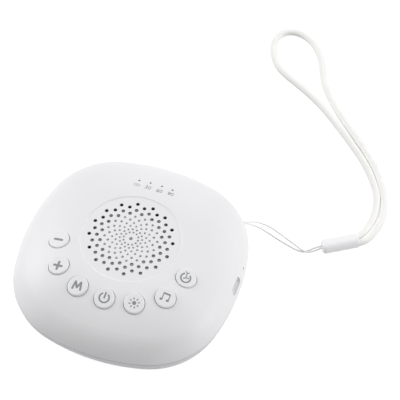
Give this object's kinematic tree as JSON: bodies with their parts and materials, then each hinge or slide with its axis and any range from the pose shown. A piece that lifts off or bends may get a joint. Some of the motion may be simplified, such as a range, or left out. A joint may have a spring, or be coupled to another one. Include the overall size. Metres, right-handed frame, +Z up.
{
  "type": "white noise machine",
  "caption": "Palm-sized domed white noise machine: round speaker grille, arc of push buttons, timer lamps, charging socket, translucent lower ring and a wrist lanyard.",
  "frame": {"origin": "under the middle of the casing, in the plane of the feet", "axes": "+Z up, -Y towards the side with the buttons, +X towards the charging socket; the lanyard leaves the corner between +X and +Y"},
  "size_m": [0.1596, 0.2355, 0.0388],
  "materials": {
    "casing_white": "satin moulded plastic",
    "diffuser_white": "milky translucent plastic, satin",
    "base_white": "fine matt moulded plastic",
    "button_white": "satin with a printed symbol",
    "clear_plastic": "clear, polished",
    "socket_steel": "nickel plated",
    "contact_black": "black with plated contacts",
    "cloth_black": "fine open mesh",
    "rubber_grey": "matt",
    "screw_steel": "zinc plated",
    "frame_grey": "moulded",
    "strip_white": "flexible circuit",
    "lamp_yellow": "clear gel",
    "cell_silver": "laminated foil pouch",
    "foam_dark": "foam",
    "wire_red": "sleeved wire",
    "wire_black": "sleeved wire",
    "board_green": "coated circuit board",
    "chip_black": "moulded packages",
    "switch_black": "moulded",
    "plunger_brown": "moulded",
    "plug_ivory": "moulded",
    "basket_steel": "black lacquer",
    "plate_steel": "zinc plated",
    "ferrite": "sintered",
    "coil_copper": "enamelled winding",
    "cone_paper": "pale pressed paper",
    "surround_rubber": "soft roll, coated pale as far as its crown",
    "string_white": "thin braided string",
    "bead_white": "moulded, glossy",
    "strap_white": "soft round braid"
  },
  "bodies": {
    "casing": {"base_cover": "base_white", "base_screws": "screw_steel", "battery": "cell_silver", "battery_foam": "foam_dark", "battery_plug": "plug_ivory", "battery_wire_black": "wire_black", "battery_wire_red": "wire_red", "board_chips": "chip_black", "board_screws": "screw_steel", "charge_guide": "clear_plastic", "charge_lamp": "lamp_yellow", "frame_screws": "screw_steel", "grille_cloth": "cloth_black", "indicator_lamps": "lamp_yellow", "inner_frame": "frame_grey", "lanyard_anchor": "base_white", "lanyard_bead": "bead_white", "lanyard_strap": "strap_white", "lanyard_string_back": "string_white", "lanyard_string_front": "string_white", "light_guides": "clear_plastic", "light_ring": "diffuser_white", "light_strip": "strip_white", "main_board": "board_green", "rubber_feet": "rubber_grey", "speaker_basket": "basket_steel", "speaker_gasket": "foam_dark", "speaker_magnet": "ferrite", "speaker_plug": "plug_ivory", "speaker_screws": "screw_steel", "speaker_surround": "surround_rubber", "speaker_top_plate": "plate_steel", "speaker_wire_black": "wire_black", "speaker_wire_red": "wire_red", "speaker_yoke": "plate_steel", "strip_lamps": "lamp_yellow", "switch_bodies": "switch_black", "upper_shell": "casing_white", "usb_socket": "socket_steel", "usb_tongue": "contact_black"},
    "cone": {"speaker_cone": "cone_paper", "speaker_dust_cap": "cone_paper", "voice_coil": "coil_copper"},
    "key_minus": {"button_minus": "button_white", "plunger_minus": "plunger_brown"},
    "key_plus": {"button_plus": "button_white", "plunger_plus": "plunger_brown"},
    "key_mode": {"button_mode": "button_white", "plunger_mode": "plunger_brown"},
    "key_power": {"button_power": "button_white", "plunger_power": "plunger_brown"},
    "key_light": {"button_light": "button_white", "plunger_light": "plunger_brown"},
    "key_music": {"button_music": "button_white", "plunger_music": "plunger_brown"},
    "key_timer": {"button_timer": "button_white", "plunger_timer": "plunger_brown"}
  },
  "joints": [
    {"name": "press_minus", "type": "slide", "parent": "casing", "child": "key_minus", "axis": [0, 0, -1], "range_m": [0, 0.0004], "stiffness_N_per_m": 4000},
    {"name": "press_plus", "type": "slide", "parent": "casing", "child": "key_plus", "axis": [0, 0, -1], "range_m": [0, 0.0004], "stiffness_N_per_m": 4000},
    {"name": "press_mode", "type": "slide", "parent": "casing", "child": "key_mode", "axis": [0, 0, -1], "range_m": [0, 0.0004], "stiffness_N_per_m": 4000},
    {"name": "press_power", "type": "slide", "parent": "casing", "child": "key_power", "axis": [0, 0, -1], "range_m": [0, 0.0004], "stiffness_N_per_m": 4000},
    {"name": "press_light", "type": "slide", "parent": "casing", "child": "key_light", "axis": [0, 0, -1], "range_m": [0, 0.0004], "stiffness_N_per_m": 4000},
    {"name": "press_music", "type": "slide", "parent": "casing", "child": "key_music", "axis": [0, 0, -1], "range_m": [0, 0.0004], "stiffness_N_per_m": 4000},
    {"name": "press_timer", "type": "slide", "parent": "casing", "child": "key_timer", "axis": [0, 0, -1], "range_m": [0, 0.0004], "stiffness_N_per_m": 4000},
    {"name": "cone_excursion", "type": "slide", "parent": "casing", "child": "cone", "axis": [0, 0, 1], "range_m": [-0.0005, 0.0005], "stiffness_N_per_m": 1000}
  ]
}
